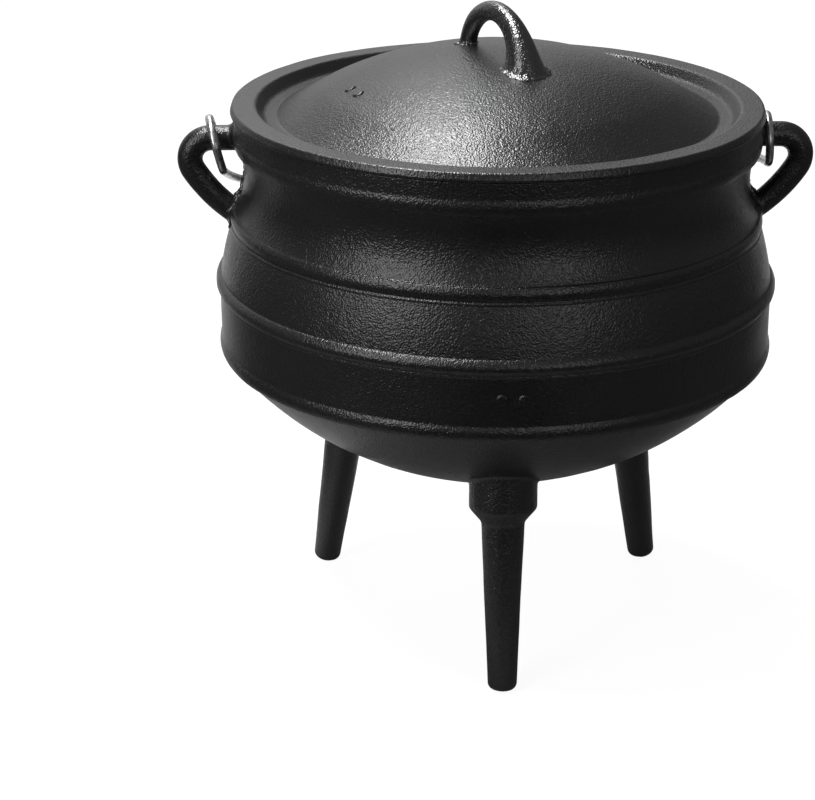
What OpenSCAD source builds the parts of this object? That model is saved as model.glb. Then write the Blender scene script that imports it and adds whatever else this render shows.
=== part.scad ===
// Three-legged cast-iron cooking pot (potjie) with a lift-off lid and a wire bail.
// The origin is on the floor under the pot's axis, +Z is up and the front leg points along -Y.

/* [Pot] */
// Height of the mouth's edge above the floor
pot_h = 259; // [254:0.5:268]
// Outside diameter of the plain band at the mouth
mouth_od = 251; // [248:0.5:252]
// Thickness of the mouth's band
mouth_wall = 5.5; // [4.5:0.1:6.5]
// How far the narrowest part of the neck lies inside the mouth's band
neck_hollow = 4.5; // [3:0.1:6]
// Depth of the neck's narrowest part below the mouth's edge
neck_drop = 28; // [26:0.5:30]
// Radius of the neck's hollow curve, seen from the side
neck_curve_r = 37; // [33:0.5:45]
// How far the shoulder's start, under the neck, lies outside the mouth's band
shoulder_proud = 2; // [1:0.1:4]
// Depth of that place below the mouth's edge
shoulder_drop = 53; // [50:0.5:56]
// How far the straight belly lies outside the mouth's band
belly_proud = 8.5; // [6:0.1:11]
// Depth below the mouth's edge where the belly starts
belly_drop = 80; // [76:0.5:84]
// Radius of the round bowl below the belly
bowl_r = 169; // [162:0.5:180]
// Clear height under the bowl
under_h = 79.7; // [75:0.1:86]
// Thickness of the cast wall
wall = 4.5; // [3.5:0.1:5.5]

/* [Ribs] */
// Height of the two large ribs, on the neck's foot and on the belly's top
rib_h = 8.4; // [6:0.2:9]
// Height of the two small ribs, under the mouth and on the belly's foot
small_rib_h = 7; // [5:0.2:8]
// How far the rib on the belly's top stands out of the belly
rib_proud = 2; // [1:0.1:3]
// How far the rib on the belly's foot stands out of the belly
low_rib_proud = 1; // [0.6:0.1:2]
// How far the rib on the neck's foot stands out past the shoulder's start
neck_rib_proud = 1.7; // [1:0.1:2.2]
// How far the rib under the mouth stands out of the mouth's band
mouth_rib_proud = 0.9; // [0.5:0.1:1.5]
// Depth of the rib under the mouth, below the mouth's edge
mouth_rib_drop = 9; // [7:0.2:11]
// Depth of the rib on the neck's foot, below the mouth's edge
neck_rib_drop = 49; // [47:0.2:51]
// Height of the rib on the belly's foot above the place where the bowl starts
low_rib_rise = 1.4; // [0.8:0.2:5]

/* [Legs] */
// How far the middle of the leg's top lies inside the mouth's band
leg_top_in = 40.6; // [37:0.1:45]
// How much further out the foot stands than the leg's top
foot_spread = 13.1; // [9:0.1:16]
// Diameter of the leg at its foot
foot_d = 13.8; // [12:0.1:16]
// Radius of the rounding at the foot
foot_round = 4.8; // [3:0.1:5]
// Depth of the round foot that is flat, where it stands
foot_flat = 0.4; // [0.2:0.1:0.6]
// Diameter of the leg's top, under its collar
leg_d = 20.4; // [18:0.1:23]
// Diameter of the collar
collar_d = 32.2; // [28:0.5:36]
// Height of the collar's lower edge above the bowl's lowest point
collar_rise = 10.8; // [8:0.1:13]
// Height of the slope between leg and collar
collar_slope = 8; // [4:0.5:10]

/* [Ears] */
// Thickness of the ear's round bar
ear_bar_d = 11.7; // [10:0.1:12.4]
// Depth of the upper arm's middle below the mouth's edge
ear_drop = 13; // [12.6:0.1:14]
// Radius of the tight bend at the bar's middle
ear_bend_r = 10.3; // [9:0.1:12]
// Angle through which the tight bend turns
ear_bend_turn = 122; // [118:1:126]
// Radius of the slow bend down to the pot's neck
ear_sweep_r = 74; // [70:1:80]

/* [Lid] */
// How far the lid's edge stands out past the mouth's band
lid_overhang = 1.5; // [1:0.1:2]
// Thickness of the lid's flat edge
lid_edge_t = 4.2; // [3.5:0.1:5]
// Width of the lid's flat edge
lid_edge_w = 12.5; // [11:0.5:14]
// Radius of the rounding round the edge
lid_edge_round = 1.2; // [0.8:0.1:1.6]
// Width of the gutter between the flat edge and the dome
gutter_w = 9.4; // [7:0.1:12]
// Depth of the gutter below the flat edge
gutter_drop = 6; // [4:0.2:8]
// Radius of the rounding between flat edge and gutter
gutter_round = 3; // [2:0.1:3.8]
// Thickness of the lid's dome and gutter
lid_t = 4.2; // [3.5:0.1:5]
// Height of the dome's top above the flat edge
dome_rise = 25.7; // [24:0.1:27]

/* [Lid handle] */
// Distance between the middles of the handle's feet, along the widest place
grip_span = 52; // [48:0.5:56]
// Height of the bar's middle above the dome's top, where the handle is highest
grip_rise = 18.9; // [17:0.1:22]
// Thickness of the bar at the highest place
grip_bar_d = 9.4; // [8:0.1:11]
// Thickness of the bar at the back foot
grip_back_d = 7.4; // [6.5:0.1:9]
// Thickness of the bar at the front foot
grip_foot_d = 21; // [14:0.5:24]
// How late the bar swells towards the front foot
grip_flare = 3; // [1:0.1:4]
// Turn of the handle's line away from the X axis
grip_turn = -62; // [-90:1:-40]
// Distance of the handle's middle from the pot's axis, towards the front
grip_forward = 10; // [0:0.5:12]
// Distance of the handle's middle from the pot's axis, towards the left
grip_left = 1.8; // [0:0.1:5]

/* [Bail] */
// Thickness of the bail's wire
wire_d = 4; // [3.6:0.1:4.4]
// Inside diameter of the eye
eye_inner_d = 22; // [21:0.2:24]
// Angle that the eye's wire turns through
eye_turn = 305; // [280:1:308]
// Angle by which the eye's top leans outwards
eye_lean = 8; // [0:0.5:10]

/* [Marks] */
// Diameter of the raised pips that tell the pot's size
pip_d = 5.5; // [4:0.1:7]
// Distance between the two pips
pip_gap = 10; // [8:0.1:14]
// How far the pips stand out of the iron
pip_proud = 0.8; // [0.5:0.1:1.5]
// Distance of the lid's pips from the pot's axis
lid_pip_out = 73; // [64:1:84]
// Turn of the lid's pips away from the front
lid_pip_turn = -69; // [-90:1:-40]

/* [Clearances] */
// Gap between the lid's edge and the mouth's edge
seat_gap = 0.3; // [0.1:0.1:0.4]
// Gap between the lid's gutter and the inside of the mouth
gutter_gap = 1.2; // [0.6:0.1:2]
// Gap between the eye and the ear's bar, and between the resting bail and the neck
wire_gap = 0.3; // [0.2:0.05:0.4]
// Gap between the leaning eye's top and the ear's tight bend
bend_gap = 0.1; // [0.1:0.1:2]
// Gap between the lid's edge and the bail beside it
bail_gap = 1.8; // [1.4:0.1:2.4]
// Gap by which the bail's crown passes the lid's edge
crown_gap = 4; // [3:0.1:5]

/* [Hidden] */
$fn = 144;
iron = [0.13, 0.13, 0.135];
zinc = [0.72, 0.73, 0.74];
// A cutting shape runs past the face that it cuts, and a boss into its carrier, by this much
over = 1;
// Bars that follow each other meet in a ball that is this much thicker than they are
ball_extra = 0.1;
// They stop this far short of the ball's middle
bar_tuck = 0.2;

// Pot: radii and heights
mouth_or = mouth_od / 2;
mouth_ir = mouth_or - mouth_wall;
neck_or = mouth_or - neck_hollow;
shoulder_or = mouth_or + shoulder_proud;
belly_or = mouth_or + belly_proud;
neck_z = pot_h - neck_drop;
shoulder_z = pot_h - shoulder_drop;
belly_z = pot_h - belly_drop;
bowl_z = under_h + bowl_r;
bowl_top_z = bowl_z - sqrt(pow(bowl_r, 2) - pow(belly_or, 2));
mouth_rib_z = pot_h - mouth_rib_drop;
neck_rib_z = pot_h - neck_rib_drop;
neck_foot_z = neck_rib_z + rib_h / 2;
low_rib_z = bowl_top_z + low_rib_rise;
neck_curve_x = neck_or + neck_curve_r;
neck_rib_x = shoulder_or + neck_rib_proud - rib_h / 2;

// Legs: each leans outwards down to its foot, and is measured along its own axis
leg_turns = [-90, 30, 150];
foot_out = mouth_or - leg_top_in + foot_spread;
collar_z = under_h + collar_rise;
leg_lean = atan(foot_spread / (collar_z - collar_slope));
leg_l = (collar_z - collar_slope) / cos(leg_lean);
collar_l = collar_z / cos(leg_lean);
foot_r = foot_d / 2;
foot_dip = foot_round * (1 - cos(leg_lean)) + (foot_r - foot_round) * sin(leg_lean);

// Lid
lid_or = mouth_or + lid_overhang;
lid_z = pot_h + seat_gap + lid_edge_t;
gutter_or = mouth_ir - gutter_gap;
gutter_ir = lid_or - lid_edge_w;
dome_foot = gutter_ir - gutter_w;
dome_h = dome_rise + gutter_drop;
dome_r = (pow(dome_foot, 2) + pow(dome_h, 2)) / (2 * dome_h);
dome_z = lid_z + dome_rise - dome_r;

// Lid handle: half a ring that stands on the dome, and runs on into it
grip_r = grip_span / 2;
grip_z = lid_z + dome_rise + grip_rise - grip_r;
grip_below = 12;
grip_sides = 24;
grip_steps = 40;

// The bar's thickness at an angle of the ring, which starts at the front foot
function grip_d(turn) = turn > 90
    ? grip_bar_d + (grip_back_d - grip_bar_d) * (turn - 90) / 90
    : grip_bar_d + (grip_foot_d - grip_bar_d) * pow(min(1, (90 - turn) / 90), grip_flare);

// A point of the bar's skin: turn goes along the ring, side goes round the bar
function grip_point(turn, side) =
    let (out = grip_r + grip_d(turn) / 2 * cos(side))
    [out * cos(turn), out * sin(turn), grip_d(turn) / 2 * sin(side)];

// Bail: an eye at each end, short straight sides, and half a circle that clears the lid
wire_r = wire_d / 2;
eye_r = eye_inner_d / 2 + wire_r;
eye_out = lid_or + bail_gap + wire_r;
bail_depth = lid_or + crown_gap + wire_r;
bail_straight = bail_depth - eye_out;

// Ears: the upper arm is straight as far as the eye's leaning top reaches
ear_z = pot_h - ear_drop;
ear_bend_out = eye_out + 2 * eye_r * sin(eye_lean) + wire_r + bend_gap;
ear_sweep_from = 90 - ear_bend_turn;
// The slow bend runs on into the pot, where it is cut off
ear_sweep_turn = 40;

// The bail hangs this far below the ears' bars, and rests on the rib at the neck's foot
bail_low = 2 * eye_r * cos(eye_lean) - ear_bar_d / 2 - wire_gap - wire_r;
crown_reach = norm([bail_depth, bail_low]);
rib_reach = norm([neck_rib_x, ear_z - neck_rib_z]);
rib_stop = rib_h / 2 + wire_r + wire_gap;
rib_angle = atan2(ear_z - neck_rib_z, neck_rib_x);
stop_cos = (pow(crown_reach, 2) + pow(rib_reach, 2) - pow(rib_stop, 2)) / (2 * crown_reach * rib_reach);
bail_rest = rib_angle - acos(stop_cos) - asin(bail_low / crown_reach);

// Half of the pot's side view. inset moves it inwards, mouth is its radius at the top,
// and rise lifts its top edge.
module pot_half(inset, mouth, rise) {
    belly = belly_or - inset;
    turn_z = bowl_z - sqrt(pow(bowl_r - inset, 2) - pow(belly, 2));
    intersection() {
        translate([0, bowl_z]) circle(r = bowl_r - inset);
        translate([0, bowl_z - bowl_r]) square([belly, turn_z - bowl_z + bowl_r]);
    }
    difference() {
        polygon([
            [0, turn_z], [belly, turn_z], [belly, belly_z],
            [shoulder_or - inset, shoulder_z], [mouth, neck_foot_z],
            [mouth, pot_h + rise], [0, pot_h + rise],
        ]);
        translate([neck_curve_x, neck_z]) circle(r = neck_curve_r + inset);
    }
}

// The pot without its hollow. What is cast onto it is cut to this face.
module pot_solid() {
    rotate_extrude() pot_half(0, mouth_or, 0);
}

// Half of a rib's side view: a round bead that reaches out to the radius reach
module rib_half(height, reach, z) {
    translate([reach - height / 2, z]) circle(d = height);
}

module ribs() {
    rotate_extrude() {
        rib_half(small_rib_h, mouth_or + mouth_rib_proud, mouth_rib_z);
        rib_half(rib_h, shoulder_or + neck_rib_proud, neck_rib_z);
        rib_half(rib_h, belly_or + rib_proud, belly_z);
        rib_half(small_rib_h, belly_or + low_rib_proud, low_rib_z);
    }
}

// A raised pip on a face at z = 0
module pip() {
    translate([0, 0, -over]) cylinder(d = pip_d, h = over + pip_proud);
}

module pot_body() {
    color(iron) difference() {
        union() {
            pot_solid();
            ribs();
            for (side = [-1, 1]) {
                rotate([0, 0, side * asin(pip_gap / 2 / belly_or)])
                    translate([0, -belly_or, (belly_z + low_rib_z) / 2]) rotate([90, 0, 0]) pip();
            }
        }
        rotate_extrude() pot_half(wall, mouth_ir, over);
    }
}

// Half of a leg's side view, from its foot up into the bowl
module leg_half() {
    square([foot_r - foot_round, leg_l]);
    intersection() {
        translate([foot_r - foot_round, foot_round]) circle(r = foot_round);
        square([foot_r, foot_d]);
    }
    polygon([
        [0, foot_round], [foot_r, foot_round], [leg_d / 2, leg_l], [collar_d / 2, collar_l],
        [collar_d / 2, bowl_top_z], [0, bowl_top_z],
    ]);
}

module leg(turn) {
    color(iron) difference() {
        rotate([0, 0, turn]) translate([foot_out, 0, foot_dip - foot_flat])
            rotate([0, -leg_lean, 0]) rotate_extrude() leg_half();
        pot_solid();
        // The floor
        translate([0, 0, -foot_d]) cylinder(r = belly_or, h = foot_d);
    }
}

// A round bar bent at the radius r, from one angle to another
module bent_bar(r, d, from, to) {
    tuck = atan(bar_tuck / r);
    rotate([0, 0, from + tuck]) rotate_extrude(angle = to - from - 2 * tuck)
        translate([r, 0]) circle(d = d);
}

// The ball between two bars
module knuckle(d) {
    sphere(d = d + ball_extra);
}

// The ear on the +X side
module ear_bar() {
    translate([mouth_ir, 0, ear_z]) rotate([0, 90, 0])
        cylinder(d = ear_bar_d, h = ear_bend_out - bar_tuck - mouth_ir);
    translate([ear_bend_out, 0, ear_z]) knuckle(ear_bar_d);
    translate([ear_bend_out, 0, ear_z - ear_bend_r]) rotate([90, 0, 0]) {
        bent_bar(ear_bend_r, ear_bar_d, ear_sweep_from, 90);
        rotate([0, 0, ear_sweep_from]) {
            translate([ear_bend_r, 0, 0]) knuckle(ear_bar_d);
            translate([ear_bend_r - ear_sweep_r, 0, 0])
                bent_bar(ear_sweep_r, ear_bar_d, -ear_sweep_turn, 0);
        }
    }
}

module ear(turn) {
    color(iron) difference() {
        rotate([0, 0, turn]) ear_bar();
        pot_solid();
        ribs();
    }
}

// Half of the lid's side view
module lid_half() {
    edge_z = lid_z - lid_edge_t;
    gutter_z = lid_z - gutter_drop;
    // Flat edge, rounded at the rim
    translate([gutter_ir, edge_z]) square([lid_or - lid_edge_round - gutter_ir, lid_edge_t]);
    translate([lid_or - 2 * lid_edge_round, edge_z + lid_edge_round])
        square([2 * lid_edge_round, lid_edge_t - 2 * lid_edge_round]);
    for (z = [edge_z + lid_edge_round, lid_z - lid_edge_round])
        translate([lid_or - lid_edge_round, z]) circle(r = lid_edge_round);
    // Gutter inside the edge
    translate([gutter_ir, gutter_z - lid_t]) square([gutter_or - gutter_ir, gutter_drop + lid_t]);
    translate([dome_foot, gutter_z - lid_t]) square([gutter_ir - dome_foot + over, lid_t]);
    difference() {
        translate([gutter_ir - gutter_round, gutter_z - over])
            square([gutter_round + over, gutter_round + over]);
        translate([gutter_ir - gutter_round, gutter_z + gutter_round]) circle(r = gutter_round);
    }
    // Dome
    difference() {
        intersection() {
            translate([0, dome_z]) circle(r = dome_r);
            translate([0, gutter_z - lid_t])
                square([dome_foot + over, dome_rise + gutter_drop + lid_t + over]);
        }
        translate([0, dome_z]) circle(r = dome_r - lid_t);
    }
}

module dome_ball() {
    translate([0, 0, dome_z]) sphere(r = dome_r);
}

module lid() {
    color(iron) {
        rotate_extrude() lid_half();
        for (side = [-1, 1]) {
            rotate([0, 0, lid_pip_turn + side * asin(pip_gap / 2 / lid_pip_out)])
                translate([0, 0, dome_z]) rotate([asin(lid_pip_out / dome_r), 0, 0])
                    translate([0, 0, dome_r]) pip();
        }
    }
}

// The handle's ring, lying flat: a round bar of changing thickness
module grip_ring() {
    last = grip_steps * grip_sides;
    grip_turns = 180 + 2 * grip_below;
    polyhedron(
        points = [
            for (j = [0 : grip_steps], k = [0 : grip_sides - 1])
                grip_point(-grip_below + grip_turns * j / grip_steps, 360 * k / grip_sides)
        ],
        faces = concat(
            [[for (k = [grip_sides - 1 : -1 : 0]) k]],
            [
                for (j = [0 : grip_steps - 1], k = [0 : grip_sides - 1])
                    let (a = j * grip_sides, b = a + grip_sides, next = (k + 1) % grip_sides)
                    each [[a + k, a + next, b + k], [a + next, b + next, b + k]]
            ],
            [[for (k = [0 : grip_sides - 1]) last + k]]
        )
    );
}

module lid_handle() {
    color(iron) difference() {
        translate([-grip_left, -grip_forward, grip_z]) rotate([0, 0, grip_turn])
            rotate([90, 0, 0]) grip_ring();
        dome_ball();
    }
}

// One side of the bail lying flat, with the ear's bar along the X axis
module bail_side() {
    translate([eye_out, 0, -bail_low]) {
        // Eye round the ear's bar
        rotate([0, eye_lean, 0]) translate([0, 0, eye_r]) rotate([0, 90, 0])
            bent_bar(eye_r, wire_d, -eye_turn, 0);
        knuckle(wire_d);
        rotate([-90, 0, 0]) cylinder(d = wire_d, h = bail_straight - bar_tuck);
        translate([0, bail_straight, 0]) knuckle(wire_d);
    }
}

module bail() {
    color(zinc) translate([0, 0, ear_z]) rotate([-bail_rest, 0, 0]) {
        bail_side();
        mirror([1, 0, 0]) bail_side();
        translate([0, bail_straight, -bail_low]) bent_bar(eye_out, wire_d, 0, 180);
    }
}

pot_body();
leg(leg_turns[0]);  // leg_front
leg(leg_turns[1]);  // leg_rear_right
leg(leg_turns[2]);  // leg_rear_left
ear(0);  // ear_right
ear(180);  // ear_left
lid();
lid_handle();
bail();
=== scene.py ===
# Looks of the potjie pot: sand-cast, oiled iron with a zinc-plated wire bail, on a white studio floor.
# Sizes are in millimetres, as in the part's source, and become metres where a mesh is made.
import itertools
import math

import bpy
import numpy as np
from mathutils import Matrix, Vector

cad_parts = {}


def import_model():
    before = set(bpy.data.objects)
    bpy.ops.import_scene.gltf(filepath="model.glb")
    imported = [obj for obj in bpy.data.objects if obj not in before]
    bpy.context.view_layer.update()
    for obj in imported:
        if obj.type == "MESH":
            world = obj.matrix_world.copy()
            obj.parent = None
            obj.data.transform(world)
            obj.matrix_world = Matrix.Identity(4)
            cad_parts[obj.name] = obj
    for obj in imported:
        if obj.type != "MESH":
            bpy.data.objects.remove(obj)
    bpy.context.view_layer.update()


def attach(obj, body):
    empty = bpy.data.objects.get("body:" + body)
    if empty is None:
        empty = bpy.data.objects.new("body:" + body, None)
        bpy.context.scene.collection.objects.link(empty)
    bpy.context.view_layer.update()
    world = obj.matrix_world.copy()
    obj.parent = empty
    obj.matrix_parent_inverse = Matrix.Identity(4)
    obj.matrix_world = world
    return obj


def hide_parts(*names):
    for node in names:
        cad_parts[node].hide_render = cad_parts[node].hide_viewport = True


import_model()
scene = bpy.context.scene
scene.view_settings.view_transform = "Standard"

MM = 0.001

# Pot
POT_H = 259.0
MOUTH_R = 125.5
MOUTH_IR = 120.0
NECK_R = 121.0
NECK_Z = 231.0
NECK_CURVE = 37.0
NECK_FOOT_Z = 214.2
SHOULDER_R = 127.5
SHOULDER_Z = 206.0
SHOULDER_CROWN = 0.6
BELLY_R = 134.0
BELLY_Z = 179.0
BOWL_R = 169.0
BOWL_Z = 248.7
BOWL_TOP_Z = 145.72
WALL = 4.5
# Ribs: reach of the bead from the axis, its height and its middle's height above the floor
RIBS = [
    (MOUTH_R + 0.6, 8.0, 247.9),
    (SHOULDER_R + 0.6, 7.2, 208.9),
    (BELLY_R + 2.0, 7.6, 177.9),
    (BELLY_R + 1.0, 7.0, 146.7),
    # A thin burr runs along the foot of the two middle ribs
    (SHOULDER_R + 0.55, 1.3, 205.0),
    (BELLY_R + 0.5, 1.4, 173.8),
]
RIB_FILLET = 0.3
# Pips
PIP_R = 2.75
PIP_PROUD = 0.8
PIP_GAP = 10.0
BELLY_PIP_Z = 163.06
LID_PIP_OUT = 73.0
LID_PIP_TURN = -69.0
# Legs
LEG_TURNS = {"leg_front": -90, "leg_rear_right": 30, "leg_rear_left": 150}
FOOT_OUT = 98.0
LEG_LEAN = 9.023
FOOT_LIFT = -0.011
FOOT_R = 6.9
LEG_L = 83.53
LEG_R = 10.2
COLLAR_L = 91.63
COLLAR_R = 16.1
# Ears
EAR_Z = 246.0
EAR_R = 6.0
EAR_OUT = 136.52
EAR_BEND = 10.3
EAR_SWEEP = 74.0
EAR_TURN = 122.0
SEAM_TOP = 246.0
SEAM_FOOT = 215.5
SEAM_R = 1.0
SEAM_WIDER = 1.6
SEAM_LUMPS = 0.55
# Lid
LID_Z = 263.5
LID_R = 127.0
LID_EDGE_T = 4.2
GUTTER_IR = 114.5
GUTTER_OR = 118.8
GUTTER_Z = 257.5
LID_T = 4.2
DOME_FOOT = 105.1
DOME_R = 190.08
DOME_Z = 99.12
# Lid handle
GRIP_R = 26.0
GRIP_Z = 282.1
GRIP_LEFT = 1.8
GRIP_FORWARD = 10.0
GRIP_TURN = -62.0
GRIP_BAR = 9.4
GRIP_BACK = 7.4
GRIP_FOOT = 21.0
GRIP_FLARE = 3.0
GRIP_INNER = 2.6
# Bail
WIRE_R = 2.0
EYE_OUT = 130.8
EYE_TURN = 290.0
EYE_TOP = 9.3
# Each eye's radius, its lean, its turn about the vertical and the wire's dip behind it
EYE_RIGHT = (11.6, -3.0, 4.0, 0.0)
EYE_LEFT = (13.0, 14.0, 3.0, 10.5)
DIP_AT = 44.0
DIP_BACK = 60.0
BAIL_STRAIGHT = 2.2
BAIL_LOW = 17.6
BAIL_REST = 6.334


# ---------------------------------------------------------------- shapes

def value_noise(p, cell, seed=0):
    """Smooth noise from -1 to 1 at the points p, with features about as large as cell."""
    q = p / cell + 17.31 * (seed + 1)
    i = np.floor(q).astype(np.int64)
    f = q - i
    f = f * f * (3 - 2 * f)
    total = np.zeros(p.shape[:-1])
    for corner in itertools.product((0, 1), repeat=3):
        c = i + np.array(corner)
        h = (c[..., 0] * 73856093) ^ (c[..., 1] * 19349663) ^ (c[..., 2] * 83492791)
        h = (h ^ (h >> 13)) * 1274126177
        v = ((h >> 8) & 0xFFFF) / 32767.5 - 1
        total += v * np.prod(np.where(corner, f, 1 - f), axis=-1)
    return total


def grid_normals(g, closed):
    """Outward or inward unit normals of a grid of points (rings, points of a ring)."""
    along = np.gradient(g, axis=0)
    if closed:
        around = np.roll(g, -1, axis=1) - np.roll(g, 1, axis=1)
    else:
        around = np.gradient(g, axis=1)
    n = np.cross(around, along)
    return n / np.maximum(np.linalg.norm(n, axis=-1, keepdims=True), 1e-9)


def as_cast(g, depth=0.12, closed=True):
    """Moves a grid's points a little along their normals, as sand moulding leaves them."""
    n = grid_normals(g, closed)
    h = depth * value_noise(g, 19.0) + 0.5 * depth * value_noise(g, 7.0, 1)
    return g + n * h[..., None]


def grid_mesh(name, g, body, replaced, material, start=None, end=None):
    """A mesh of closed rings. start and end are points that close its two ends, or None."""
    rings, sides = g.shape[:2]
    verts = [g.reshape(-1, 3)]
    j, k = np.meshgrid(np.arange(rings - 1), np.arange(sides), indexing="ij")
    k2 = (k + 1) % sides
    quads = np.stack([j * sides + k, j * sides + k2, (j + 1) * sides + k2, (j + 1) * sides + k], -1)
    faces = quads.reshape(-1, 4).tolist()
    count = rings * sides
    for tip, ring, flip in ((start, 0, True), (end, rings - 1, False)):
        if tip is None:
            continue
        verts.append(np.array([tip], dtype=float))
        for s in range(sides):
            a, b = ring * sides + s, ring * sides + (s + 1) % sides
            faces.append([b, a, count] if flip else [a, b, count])
        count += 1
    mesh = bpy.data.meshes.new(name)
    mesh.from_pydata((np.concatenate(verts) * MM).tolist(), [], faces)
    mesh.polygons.foreach_set("use_smooth", [True] * len(mesh.polygons))
    mesh.materials.append(material)
    obj = bpy.data.objects.new(name, mesh)
    scene.collection.objects.link(obj)
    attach(obj, body)
    if replaced:
        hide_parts(*replaced)
    return obj


def resample(p, step):
    """Points along the line p, about step apart (step may be a function of the point)."""
    p = np.asarray(p, dtype=float)
    seg = np.linalg.norm(np.diff(p, axis=0), axis=1)
    s = np.concatenate([[0], np.cumsum(seg)])
    mid = (p[1:] + p[:-1]) / 2
    want = np.array([step(m) if callable(step) else step for m in mid])
    t = np.concatenate([[0], np.cumsum(seg / want)])
    n = max(2, int(round(t[-1])) + 1)
    at = np.interp(np.linspace(0, t[-1], n), t, s)
    return np.stack([np.interp(at, s, p[:, i]) for i in range(p.shape[1])], -1)


def rounded(corners, steps=10):
    """A line through corners (x, y, radius), with an arc of that radius at each."""
    out = []
    for i, (x, y, r) in enumerate(corners):
        here = np.array([x, y], dtype=float)
        if r == 0 or i in (0, len(corners) - 1):
            out.append(here)
            continue
        a = np.array(corners[i - 1][:2]) - here
        b = np.array(corners[i + 1][:2]) - here
        la, lb = np.linalg.norm(a), np.linalg.norm(b)
        a, b = a / la, b / lb
        half = math.acos(np.clip(a @ b, -1, 1)) / 2
        back = min(r / math.tan(half), 0.49 * la, 0.49 * lb)
        r = back * math.tan(half)
        centre = here + (a + b) / np.linalg.norm(a + b) * r / math.sin(half)
        p0, p1 = here + a * back - centre, here + b * back - centre
        t0, t1 = math.atan2(p0[1], p0[0]), math.atan2(p1[1], p1[0])
        turn = (t1 - t0 + math.pi) % (2 * math.pi) - math.pi
        for k in range(steps + 1):
            t = t0 + turn * k / steps
            out.append(centre + r * np.array([math.cos(t), math.sin(t)]))
    return np.array(out)


def revolve(profile, sides):
    """Rings of points about the Z axis, from a line of (radius, height)."""
    t = np.arange(sides) * 2 * math.pi / sides
    return np.stack([
        profile[:, None, 0] * np.cos(t), profile[:, None, 0] * np.sin(t),
        np.repeat(profile[:, 1:2], sides, axis=1)], -1)


def smooth_max(a, b, k):
    h = np.maximum(k - np.abs(a - b), 0) / k
    return np.maximum(a, b) + h * h * k / 4


# ---------------------------------------------------------------- materials

class Nodes:
    """Adds shader nodes to a tree and links them."""

    def __init__(self, tree):
        self.tree = tree
        tree.nodes.clear()

    def add(self, kind, inputs=None, **values):
        n = self.tree.nodes.new(kind)
        for key, v in values.items():
            setattr(n, key, v)
        for key, v in (inputs or {}).items():
            n.inputs[key].default_value = v
        return n

    def link(self, a, out, b, into):
        self.tree.links.new(a.outputs[out], b.inputs[into])


def material(name):
    m = bpy.data.materials.new(name)
    m.use_nodes = True
    return m, Nodes(m.node_tree)


def iron(name, grain, rough_low, rough_high, ior=1.5):
    m, t = material(name)
    out = t.add("ShaderNodeOutputMaterial")
    b = t.add("ShaderNodeBsdfPrincipled", {"Specular IOR Level": 1.0, "IOR": ior, "Metallic": 0.0})
    t.link(b, "BSDF", out, "Surface")
    co = t.add("ShaderNodeTexCoord")

    def noise(scale, detail):
        n = t.add("ShaderNodeTexNoise", {"Scale": scale, "Detail": detail, "Roughness": 0.55})
        t.link(co, "Object", n, "Vector")
        return n

    sand, peel, patches = noise(1300, 0.0), noise(520, 1.0), noise(28, 3.0)
    fine = t.add("ShaderNodeBump", {"Strength": 1.0, "Distance": 0.7 * grain})
    t.link(sand, "Fac", fine, "Height")
    broad = t.add("ShaderNodeBump", {"Strength": 1.0, "Distance": 0.65 * grain})
    t.link(peel, "Fac", broad, "Height")
    t.link(fine, "Normal", broad, "Normal")
    t.link(broad, "Normal", b, "Normal")
    # The oil lies unevenly
    oil = t.add("ShaderNodeMapRange", {"From Min": 0.3, "From Max": 0.7, "To Min": rough_low, "To Max": rough_high})
    t.link(patches, "Fac", oil, "Value")
    t.link(oil, "Result", b, "Roughness")
    tint = t.add("ShaderNodeMix", data_type="RGBA")
    t.link(patches, "Fac", tint, "Factor")
    for socket, shade in (("A", 0.82), ("B", 1.22)):
        index = [i for i, s in enumerate(tint.inputs) if s.name == socket and s.type == "RGBA"][0]
        tint.inputs[index].default_value = tuple(c * shade for c in IRON_COLOUR) + (1,)
    result = [i for i, s in enumerate(tint.outputs) if s.type == "RGBA"][0]
    t.tree.links.new(tint.outputs[result], b.inputs["Base Color"])
    return m


def zinc():
    m, t = material("zinc")
    out = t.add("ShaderNodeOutputMaterial")
    b = t.add("ShaderNodeBsdfPrincipled", {"Metallic": 1.0})
    t.link(b, "BSDF", out, "Surface")
    co = t.add("ShaderNodeTexCoord")
    n = t.add("ShaderNodeTexNoise", {"Scale": 420, "Detail": 3.0})
    t.link(co, "Object", n, "Vector")
    r = t.add("ShaderNodeMapRange", {"To Min": 0.16, "To Max": 0.42})
    t.link(n, "Fac", r, "Value")
    t.link(r, "Result", b, "Roughness")
    ramp = t.add("ShaderNodeValToRGB")
    ramp.color_ramp.elements[0].position = 0.3
    ramp.color_ramp.elements[0].color = (0.5, 0.51, 0.53, 1)
    ramp.color_ramp.elements[1].position = 0.6
    ramp.color_ramp.elements[1].color = (0.84, 0.85, 0.86, 1)
    t.link(n, "Fac", ramp, "Fac")
    t.link(ramp, "Color", b, "Base Color")
    bump = t.add("ShaderNodeBump", {"Strength": 1.0, "Distance": 0.00008})
    t.link(n, "Fac", bump, "Height")
    t.link(bump, "Normal", b, "Normal")
    return m


IRON_COLOUR = (0.0058, 0.0058, 0.006)
IRON = iron("cast_iron", 0.00032, 0.27, 0.33)
LID_IRON = iron("lid_cast_iron", 0.0003, 0.28, 0.34)
ROUGH_IRON = iron("rough_cast_iron", 0.00032, 0.21, 0.28, 1.78)
ZINC = zinc()


# ---------------------------------------------------------------- pot

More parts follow.
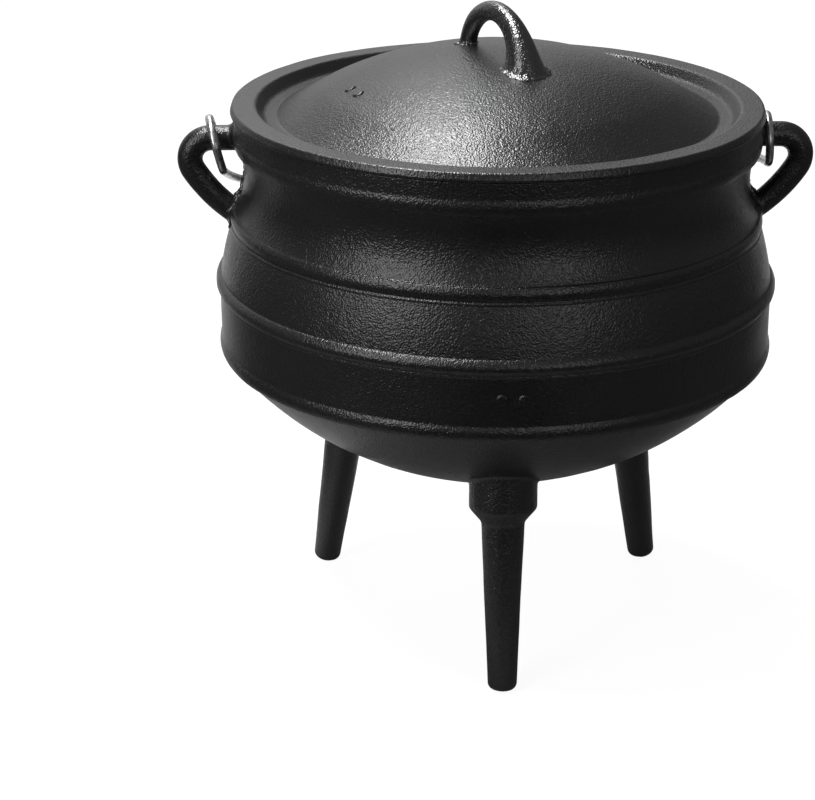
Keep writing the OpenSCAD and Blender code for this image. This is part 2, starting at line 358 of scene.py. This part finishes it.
def pot_outside(z):
    """Radius of the pot's outside at the height z, above the bowl's lowest point."""
    z = np.asarray(z, dtype=float)
    bowl = np.sqrt(np.maximum(BOWL_R ** 2 - (BOWL_Z - z) ** 2, 0))
    above = np.interp(z, [BOWL_TOP_Z, BELLY_Z, SHOULDER_Z, NECK_FOOT_Z, POT_H],
                      [BELLY_R, BELLY_R, SHOULDER_R, MOUTH_R, MOUTH_R])
    # The shoulder is a little round between its two ribs
    up = np.clip((z - BELLY_Z) / (SHOULDER_Z - BELLY_Z), 0, 1)
    r = np.where(z < BOWL_TOP_Z, bowl, above + 4 * SHOULDER_CROWN * up * (1 - up))
    reach = np.maximum(NECK_CURVE ** 2 - (z - NECK_Z) ** 2, 0)
    hollow = np.where(reach > 0, NECK_R + NECK_CURVE - np.sqrt(reach), np.inf)
    return np.minimum(r, hollow)


def pot_ribbed(z):
    r = pot_outside(z)
    for reach, height, middle in RIBS:
        half = height / 2
        inside = np.abs(z - middle) < half
        proud = reach - pot_outside(middle)
        bead = reach - proud * ((z - middle) / half) ** 2
        r = np.where(inside, smooth_max(r, bead, RIB_FILLET), r)
    return r


def ring_step(p):
    """Distance between the outside's rings: fine on a rib, and coarse on the plain bowl."""
    if any(abs(p[1] - middle) < height / 2 + 1 for _, height, middle in RIBS):
        return 0.3
    return 3.0 if p[1] < 141 else 1.2


def pot_profile():
    tilt = np.linspace(0, math.asin(126.0 / BOWL_R), 90)
    bowl = np.stack([BOWL_R * np.sin(tilt), BOWL_Z - BOWL_R * np.cos(tilt)], -1)
    z = np.arange(bowl[-1, 1] + 0.1, POT_H - 1.5, 0.1)
    side = np.stack([pot_ribbed(z), z], -1)
    lip = rounded([(MOUTH_R, POT_H - 1.5, 0), (MOUTH_R, POT_H, 0.4), (MOUTH_IR, POT_H, 1.0), (MOUTH_IR, POT_H - 4, 0)])
    inside_z = np.arange(POT_H - 4.1, BOWL_TOP_Z + 2, -0.5)
    in_wall = np.minimum(pot_outside(inside_z) - WALL, MOUTH_IR + 0 * inside_z)
    low = inside_z < NECK_FOOT_Z
    in_wall = np.where(low, pot_outside(inside_z) - WALL, in_wall)
    inside = np.stack([in_wall, inside_z], -1)
    r_in = BOWL_R - WALL
    tilt = np.linspace(math.asin((BELLY_R - WALL) / r_in), 0, 90)
    bottom = np.stack([r_in * np.sin(tilt), BOWL_Z - r_in * np.cos(tilt)], -1)
    outside = resample(np.concatenate([bowl, side]), ring_step)
    return np.concatenate([outside, lip, resample(np.concatenate([inside, bottom]), 3.0)])


def pot():
    p = pot_profile()
    g = as_cast(revolve(p[1:-1], 400))
    grid_mesh("pot_casting", g, "pot", ["pot_body"], IRON, (0, 0, p[0, 1]), (0, 0, p[-1, 1]))


def pip_shape(steps=40):
    """A low button on the plane z = 0."""
    p = rounded([(PIP_R + 1.2, -0.6, 0), (PIP_R + 0.1, 0.0, 0.6), (PIP_R - 0.5, PIP_PROUD, 0.5), (0.05, PIP_PROUD, 0)], 6)
    return revolve(p, steps)


def pips():
    button = pip_shape()
    for n, side in enumerate((-1, 1)):
        a = math.radians(-90) + side * PIP_GAP / 2 / BELLY_R
        out = np.array([math.cos(a), math.sin(a), 0])
        right = np.array([-math.sin(a), math.cos(a), 0])
        up = np.array([0, 0, 1.0])
        g = out * (BELLY_R + button[..., 2:]) + right * button[..., :1] + up * (BELLY_PIP_Z + button[..., 1:2])
        grid_mesh(f"belly_pip_{n}", g, "pot", None, IRON, None, tuple(g[-1].mean(0)))
        a = math.radians(LID_PIP_TURN - 90 + 90) + side * PIP_GAP / 2 / LID_PIP_OUT
        tilt = math.asin(LID_PIP_OUT / DOME_R)
        # The source turns the dome's top towards -Y, then about the axis
        flat = np.array([math.sin(a), -math.cos(a), 0])
        out = flat * math.sin(tilt) + up * math.cos(tilt)
        down = flat * math.cos(tilt) - up * math.sin(tilt)
        right = np.cross(down, out)
        g = np.array([0, 0, DOME_Z]) + out * (DOME_R + button[..., 2:]) + right * button[..., :1] + down * button[..., 1:2]
        grid_mesh(f"lid_pip_{n}", g, "lid", None, IRON, None, tuple(g[-1].mean(0)))


# ---------------------------------------------------------------- tubes that stand on the casting

def frames(path):
    """For each point of a path in a plane: its direction and two directions across it."""
    d = np.gradient(path, axis=0)
    d /= np.linalg.norm(d, axis=1, keepdims=True)
    across = np.cross(d[0], d[len(d) // 2])
    if np.linalg.norm(across) < 1e-6:
        across = np.cross(d[0], [0.3, 0.5, 0.81])
    across /= np.linalg.norm(across)
    up = np.cross(across, d)
    up /= np.linalg.norm(up, axis=1, keepdims=True)
    return d, np.cross(d, up), up


def tube(path, radius, sides):
    """Rings round a path; radius is a number or one for each point."""
    d, across, up = frames(path)
    r = np.broadcast_to(radius, (len(path),))[:, None, None]
    t = np.arange(sides) * 2 * math.pi / sides
    round_about = across[:, None] * np.cos(t)[None, :, None] + up[:, None] * np.sin(t)[None, :, None]
    return path[:, None] + r * round_about, round_about


def flared(g, out, gap, size, lumps=0.0, seed=3):
    """Widens rings near the face they stand on. gap is each point's distance from it."""
    near = np.clip(gap, 0, size)
    flare = size - np.sqrt(np.maximum(size ** 2 - (size - near) ** 2, 0))
    rough = lumps * np.exp(-np.maximum(gap, 0) / 1.6)
    bump = rough * (0.6 * value_noise(g, 2.2, seed) + 0.5 * value_noise(g, 1.1, seed + 1) + 0.35)
    return g + out * (flare + bump)[..., None]


def pot_gap(g):
    """How far points lie outside the pot's side, measured outwards from its axis."""
    r = np.linalg.norm(g[..., :2], axis=-1)
    return r - pot_ribbed(g[..., 2])


def sink(g, gap, depth):
    """Brings points that are deeper than depth in the pot's wall back out to that depth."""
    r = np.linalg.norm(g[..., :2], axis=-1, keepdims=True)
    short = np.maximum(-depth - gap, 0)[..., None]
    moved = g.copy()
    moved[..., :2] += g[..., :2] / np.maximum(r, 1e-6) * short
    return moved


def ear(name, turn):
    bend_z = EAR_Z - EAR_BEND
    a = np.radians(np.linspace(90, 90 - EAR_TURN, 60))
    bend = np.stack([EAR_OUT + EAR_BEND * np.cos(a), 0 * a, bend_z + EAR_BEND * np.sin(a)], -1)
    start = 90 - EAR_TURN
    mid = np.array([EAR_OUT, 0, bend_z]) + (EAR_BEND - EAR_SWEEP) * np.array(
        [math.cos(math.radians(start)), 0, math.sin(math.radians(start))])
    a = np.radians(np.linspace(start, start - 36, 60))
    sweep = mid + EAR_SWEEP * np.stack([np.cos(a), 0 * a, np.sin(a)], -1)
    arm = np.stack([np.linspace(MOUTH_IR + 1, EAR_OUT, 30), np.zeros(30), np.full(30, EAR_Z)], -1)
    path = resample(np.concatenate([arm[:-1], bend[:-1], sweep[1:]]), 0.5)
    g, out = tube(path, EAR_R, 48)
    g = flared(g, out, pot_gap(g), 2.8, 0.6, 5 if turn else 8)
    g = as_cast(g, 0.16)
    g = sink(g, pot_gap(g), 2.2)
    c, s = math.cos(turn), math.sin(turn)
    g = np.stack([g[..., 0] * c - g[..., 1] * s, g[..., 0] * s + g[..., 1] * c, g[..., 2]], -1)
    grid_mesh(name + "_casting", g, "pot", [name], LID_IRON, tuple(g[0].mean(0)), tuple(g[-1].mean(0)))
    # A rough seam runs down the neck inside the ear
    z = np.arange(SEAM_TOP, SEAM_FOOT, -0.3)
    line = np.stack([pot_ribbed(z) - 0.2, 0 * z, z], -1)
    wide = np.linspace(0, 1, len(z)) ** 4
    g, out = tube(line, SEAM_R + SEAM_WIDER * wide, 24)
    rough = value_noise(g, 2.4, 31) + 0.6 * value_noise(g, 1.2, 32)
    g = g + out * (SEAM_LUMPS * (1 + wide)[:, None] * rough)[..., None]
    g = np.stack([g[..., 0] * c - g[..., 1] * s, g[..., 0] * s + g[..., 1] * c, g[..., 2]], -1)
    grid_mesh(name + "_seam", g, "pot", None, ROUGH_IRON, tuple(g[0].mean(0)), tuple(g[-1].mean(0)))


def leg(name, turn):
    p = resample(rounded([
        (0.05, 0.0, 0), (FOOT_R, 0.0, 4.8), (LEG_R, LEG_L, 5.0), (COLLAR_R, COLLAR_L - 1.2, 3.0),
        (COLLAR_R, COLLAR_L + 22, 0)], 16), 0.9)
    g = revolve(p, 64)
    out = g * [1, 1, 0]
    out /= np.maximum(np.linalg.norm(out, axis=-1, keepdims=True), 1e-6)
    lean, turn = math.radians(LEG_LEAN), math.radians(turn)

    def place(v, shift):
        x = v[..., 0] * math.cos(lean) - v[..., 2] * math.sin(lean) + shift * FOOT_OUT
        z = v[..., 0] * math.sin(lean) + v[..., 2] * math.cos(lean) + shift * FOOT_LIFT
        c, s = math.cos(turn), math.sin(turn)
        return np.stack([x * c - v[..., 1] * s, x * s + v[..., 1] * c, z], -1)

    g, out = place(g, 1), place(out, 0)
    middle = np.array([0, 0, BOWL_Z])
    gap = np.linalg.norm(g - middle, axis=-1) - BOWL_R
    g = flared(g, out, gap, 1.2, 0.35)
    g = as_cast(g, 0.14)
    away = g - middle
    far = np.linalg.norm(away, axis=-1, keepdims=True)
    g = middle + away / far * np.maximum(far, BOWL_R - 2.2)
    g[..., 2] = np.maximum(g[..., 2], 0)
    grid_mesh(name + "_casting", g, "pot", [name], IRON, tuple(g[0].mean(0)), tuple(g[-1].mean(0)))


# ---------------------------------------------------------------- lid

def lid():
    dome = np.radians(np.linspace(0, math.degrees(math.asin(DOME_FOOT / DOME_R)), 60))
    top = np.stack([DOME_R * np.sin(dome), DOME_Z + DOME_R * np.cos(dome)], -1)
    # The dome's foot, gutter and edge, with their roundings
    slope = top[-14]
    edge = rounded([
        (slope[0], slope[1], 0), (DOME_FOOT, GUTTER_Z, 2.5), (GUTTER_IR - 3.4, GUTTER_Z + 0.9, 4.0),
        (GUTTER_IR + 0.6, LID_Z, 2.4), (LID_R - 1.1, LID_Z, 0.9), (LID_R, LID_Z - LID_EDGE_T + 1.0, 0.9),
        (LID_R - 0.5, LID_Z - LID_EDGE_T, 0.4),
        (GUTTER_OR, LID_Z - LID_EDGE_T, 0.5), (GUTTER_OR, GUTTER_Z - LID_T, 1.5),
        (103.8, GUTTER_Z - LID_T, 0)], 12)
    under_r = DOME_R - LID_T
    dome = np.radians(np.linspace(math.degrees(math.asin(103.8 / under_r)), 0, 60))
    under = np.stack([under_r * np.sin(dome), DOME_Z + under_r * np.cos(dome)], -1)
    outer = resample(np.concatenate([top[:-14], edge]), lambda p: 2.5 if p[0] < 98 else 0.45)
    p = np.concatenate([outer, resample(under, 3.0)[1:]])
    g = as_cast(revolve(p[1:-1], 400), 0.1)
    grid_mesh("lid_casting", g, "lid", ["lid"], LID_IRON, (0, 0, p[0, 1]), (0, 0, p[-1, 1]))


def lid_handle():
    turn = np.linspace(-9, 189, 300)
    share = np.clip((90 - turn) / 90, 0, 1)
    thick = np.where(turn > 90, GRIP_BAR + (GRIP_BACK - GRIP_BAR) * (turn - 90) / 90,
                     GRIP_BAR + (GRIP_FOOT - GRIP_BAR) * share ** GRIP_FLARE)
    a = np.radians(turn)
    plan = math.radians(GRIP_TURN)
    flat = np.array([math.cos(plan), math.sin(plan), 0])
    path = np.array([-GRIP_LEFT, -GRIP_FORWARD, GRIP_Z]) + GRIP_R * (
        np.cos(a)[:, None] * flat + np.sin(a)[:, None] * np.array([0, 0, 1.0]))
    g, out = tube(path, thick / 2, 128)
    # The front leg is fuller on its inner side
    inward = np.array([-GRIP_LEFT, -GRIP_FORWARD, GRIP_Z]) - path
    inward /= np.linalg.norm(inward, axis=1, keepdims=True)
    towards = np.maximum(np.sum(out * inward[:, None], axis=-1), 0)
    g = g + out * (GRIP_INNER * share[:, None] ** 1.3 * towards)[..., None]
    middle = np.array([0, 0, DOME_Z])
    gap = np.linalg.norm(g - middle, axis=-1) - DOME_R
    g = as_cast(g, 0.16)
    g = flared(g, out, gap, 1.7, 1.3, 11)
    away = g - middle
    far = np.linalg.norm(away, axis=-1, keepdims=True)
    g = middle + away / far * np.maximum(far, DOME_R - 1.8)
    grid_mesh("lid_handle_casting", g, "lid", ["lid_handle"], ROUGH_IRON, tuple(g[0].mean(0)), tuple(g[-1].mean(0)))


# ---------------------------------------------------------------- bail

def eye_low(radius, lean):
    """How far an eye's lowest point lies below the ear's axis."""
    return 2 * radius * math.cos(math.radians(lean)) - EYE_TOP


def bail_eye(radius, lean, yaw, dip):
    """Points of one eye, from its free end to the wire's straight. It leans out at its top."""
    t = np.radians(np.linspace(-EYE_TURN, 0, 130))
    along, rise = radius * np.sin(t), radius - radius * np.cos(t)
    low = eye_low(radius, lean)
    lean, yaw = math.radians(lean), math.radians(yaw)
    return np.stack([
        EYE_OUT + rise * math.sin(lean) + along * math.sin(yaw), along * math.cos(yaw),
        rise * math.cos(lean) - low], -1)


def behind_eye(y, radius, lean, yaw, dip):
    """How far the wire lies above the bail's plane, at the distance y behind an eye."""
    start = BAIL_LOW - eye_low(radius, lean)
    fade = 0.5 + 0.5 * np.cos(math.pi * np.clip(y / DIP_BACK, 0, 1))
    back = 0.5 + 0.5 * np.cos(math.pi * np.clip((y - DIP_AT) / DIP_BACK, 0, 1))
    return start * fade - dip * np.where(y < DIP_AT, y / DIP_AT, back)


def bail():
    a = np.radians(np.linspace(0, 180, 260))
    arch = np.stack([EYE_OUT * np.cos(a), BAIL_STRAIGHT + EYE_OUT * np.sin(a), 0 * a - BAIL_LOW], -1)
    y = arch[:, 1]
    arch[:, 2] += np.where(arch[:, 0] > 0, behind_eye(y, *EYE_RIGHT), behind_eye(y, *EYE_LEFT))
    left = (bail_eye(*EYE_LEFT) * [-1, 1, 1])[::-1]
    path = np.concatenate([bail_eye(*EYE_RIGHT)[:-1], arch, left[1:]])
    rest = math.radians(-BAIL_REST)
    y = path[:, 1] * math.cos(rest) - path[:, 2] * math.sin(rest)
    z = path[:, 1] * math.sin(rest) + path[:, 2] * math.cos(rest)
    path = resample(np.stack([path[:, 0], y, z + EAR_Z], -1), 1.0)
    for _ in range(4):
        path[1:-1] = 0.25 * path[:-2] + 0.5 * path[1:-1] + 0.25 * path[2:]
    # A frame carried along the path, so the wire doesn't twist
    d = np.gradient(path, axis=0)
    d /= np.linalg.norm(d, axis=1, keepdims=True)
    up = np.cross(d[0], [1.0, 0, 0])
    ups = []
    for step in d:
        up = up - step * (up @ step)
        up /= np.linalg.norm(up)
        ups.append(up)
    ups = np.array(ups)
    across = np.cross(d, ups)
    k = np.arange(24) * 2 * math.pi / 24
    r = np.full(len(path), WIRE_R)
    r[0] = r[-1] = 0.82 * WIRE_R
    g = path[:, None] + r[:, None, None] * (
        across[:, None] * np.cos(k)[None, :, None] + ups[:, None] * np.sin(k)[None, :, None])
    grid_mesh("bail_wire", g, "bail", ["bail"], ZINC, tuple(path[0]), tuple(path[-1]))


# ---------------------------------------------------------------- studio

def floor():
    m, t = material("floor")
    out = t.add("ShaderNodeOutputMaterial")
    paper = t.add("ShaderNodeBsdfDiffuse", {"Color": (0.95, 0.95, 0.95, 1)})
    # To the camera the paper is white, with a faint shadow
    white = t.add("ShaderNodeEmission", {"Color": (1, 1, 1, 1), "Strength": 0.93})
    shade = t.add("ShaderNodeBsdfDiffuse", {"Color": (0.24, 0.24, 0.24, 1)})
    seen = t.add("ShaderNodeAddShader")
    t.link(white, "Emission", seen, 0)
    t.link(shade, "BSDF", seen, 1)
    # Reflections show painted light and shade on the paper: it stays lit under the pot and towards the backdrop, and a
    # painted dark paper stands in for shade elsewhere
    co = t.add("ShaderNodeTexCoord")
    reach = t.add("ShaderNodeVectorMath", operation="LENGTH")
    t.link(co, "Object", reach, "Vector")
    away = t.add("ShaderNodeMapRange", {"From Min": 0.14, "From Max": 0.3, "To Min": 0.66, "To Max": 1.0})
    t.link(reach, "Value", away, "Value")
    parts = t.add("ShaderNodeSeparateXYZ")
    t.link(co, "Object", parts, "Vector")
    aside = t.add("ShaderNodeMath", operation="ABSOLUTE")
    t.link(parts, "X", aside, 0)
    behind = t.add("ShaderNodeMath", operation="SUBTRACT")
    t.link(parts, "Y", behind, 0)
    t.link(aside, "Value", behind, 1)
    front = t.add("ShaderNodeMapRange", {"From Min": -0.15, "From Max": 0.2, "To Min": 1.0, "To Max": 0.0})
    t.link(behind, "Value", front, "Value")
    fade = t.add("ShaderNodeMath", operation="MULTIPLY")
    t.link(away, "Result", fade, 0)
    t.link(front, "Result", fade, 1)
    path = t.add("ShaderNodeLightPath")
    # Share of painted shade that reflections see: more in front of the pot and further from it
    painted_shade_in_mirror = t.add("ShaderNodeMath", operation="MULTIPLY")
    t.link(path, "Is Glossy Ray", painted_shade_in_mirror, 0)
    t.link(fade, "Value", painted_shade_in_mirror, 1)
    # Painted dark paper, seen only in reflections: darkest straight in front, a little lighter to the sides
    painted_dark_paper = t.add("ShaderNodeBsdfDiffuse")
    sides = t.add("ShaderNodeMapRange", {"From Min": 0.1, "From Max": 0.5, "To Min": 0.006, "To Max": 0.09})
    t.link(aside, "Value", sides, "Value")
    t.link(sides, "Result", painted_dark_paper, "Color")
    mirrored = t.add("ShaderNodeMixShader")
    t.link(painted_shade_in_mirror, "Value", mirrored, 0)
    t.link(paper, "BSDF", mirrored, 1)
    t.link(painted_dark_paper, "BSDF", mirrored, 2)
    direct = t.add("ShaderNodeMath", operation="MAXIMUM")
    t.link(path, "Is Camera Ray", direct, 0)
    t.link(path, "Is Transmission Ray", direct, 1)
    whole = t.add("ShaderNodeMixShader")
    t.link(direct, "Value", whole, 0)
    t.link(mirrored, "Shader", whole, 1)
    t.link(seen, "Shader", whole, 2)
    t.link(whole, "Shader", out, "Surface")
    mesh = bpy.data.meshes.new("floor")
    mesh.from_pydata([(-6, -6, 0), (6, -6, 0), (6, 6, 0), (-6, 6, 0)], [], [(0, 1, 2, 3)])
    mesh.materials.append(m)
    f = bpy.data.objects.new("floor", mesh)
    scene.collection.objects.link(f)


def world():
    w = bpy.data.worlds.new("studio")
    scene.world = w
    w.use_nodes = True
    t = Nodes(w.node_tree)
    out = t.add("ShaderNodeOutputWorld")
    soft = t.add("ShaderNodeBackground", {"Color": (1, 1, 1, 1), "Strength": 0.2})
    white = t.add("ShaderNodeBackground", {"Color": (1, 1, 1, 1), "Strength": 1.0})
    # In reflections the backdrop is white, and the room in front and to the right of it is dim
    co = t.add("ShaderNodeTexCoord")
    parts = t.add("ShaderNodeSeparateXYZ")
    t.link(co, "Generated", parts, "Vector")
    back = t.add("ShaderNodeMapRange", {"From Min": 0.35, "From Max": 0.75, "To Min": 0.0, "To Max": 1.0})
    t.link(parts, "Y", back, "Value")
    right = t.add("ShaderNodeMapRange", {"From Min": 0.13, "From Max": 0.35, "To Min": 0.59, "To Max": 0.1})
    t.link(parts, "X", right, "Value")
    both = t.add("ShaderNodeMath", operation="MULTIPLY")
    t.link(back, "Result", both, 0)
    t.link(right, "Result", both, 1)
    room = t.add("ShaderNodeMath", {1: 0.11}, operation="MAXIMUM")
    t.link(both, "Value", room, 0)
    studio = t.add("ShaderNodeBackground", {"Color": (1, 1, 1, 1)})
    t.link(room, "Value", studio, "Strength")
    path = t.add("ShaderNodeLightPath")
    mirrored = t.add("ShaderNodeMixShader")
    t.link(path, "Is Glossy Ray", mirrored, 0)
    t.link(soft, "Background", mirrored, 1)
    t.link(studio, "Background", mirrored, 2)
    direct = t.add("ShaderNodeMath", operation="MAXIMUM")
    t.link(path, "Is Camera Ray", direct, 0)
    t.link(path, "Is Transmission Ray", direct, 1)
    mix = t.add("ShaderNodeMixShader")
    t.link(direct, "Value", mix, 0)
    t.link(mirrored, "Shader", mix, 1)
    t.link(white, "Background", mix, 2)
    t.link(mix, "Shader", out, "Surface")


def lamp(name, place, aim, size, power):
    d = bpy.data.lights.new(name, "AREA")
    d.shape = "RECTANGLE"
    d.size, d.size_y = size
    d.energy = power
    o = bpy.data.objects.new(name, d)
    scene.collection.objects.link(o)
    o.location = place
    o.rotation_euler = (Vector(aim) - Vector(place)).to_track_quat("-Z", "Y").to_euler()


def camera():
    d = bpy.data.cameras.new("camera")
    d.sensor_width = 36
    d.lens = 2235.1 / 815 * 36
    o = bpy.data.objects.new("camera", d)
    scene.collection.objects.link(o)
    o.location = (-0.0706, -1.0385, 0.5277)
    yaw, pitch = math.radians(1.539), math.radians(21.90)
    ahead = Vector((math.sin(yaw) * math.cos(pitch), math.cos(yaw) * math.cos(pitch), -math.sin(pitch)))
    o.rotation_euler = ahead.to_track_quat("-Z", "Y").to_euler()
    scene.camera = o


camera()
floor()
world()
lamp("top", (-0.37, 0.08, 1.46), (0, -0.08, 0.27), (1.1, 0.26), 18)
lamp("back", (-0.25, 1.0, 1.15), (0, 0, 0.25), (0.7, 0.5), 1.5)
lamp("key", (-1.06, -0.93, 0.86), (0, 0, 0.2), (0.6, 1.05), 5.3)
lamp("fill", (0.45, -1.17, 0.6), (0, 0, 0.2), (0.5, 0.5), 0.7)

pot()
pips()
for leg_name, leg_turn in LEG_TURNS.items():
    leg(leg_name, leg_turn)
ear("ear_right", 0.0)
ear("ear_left", math.pi)
lid()
lid_handle()
bail()
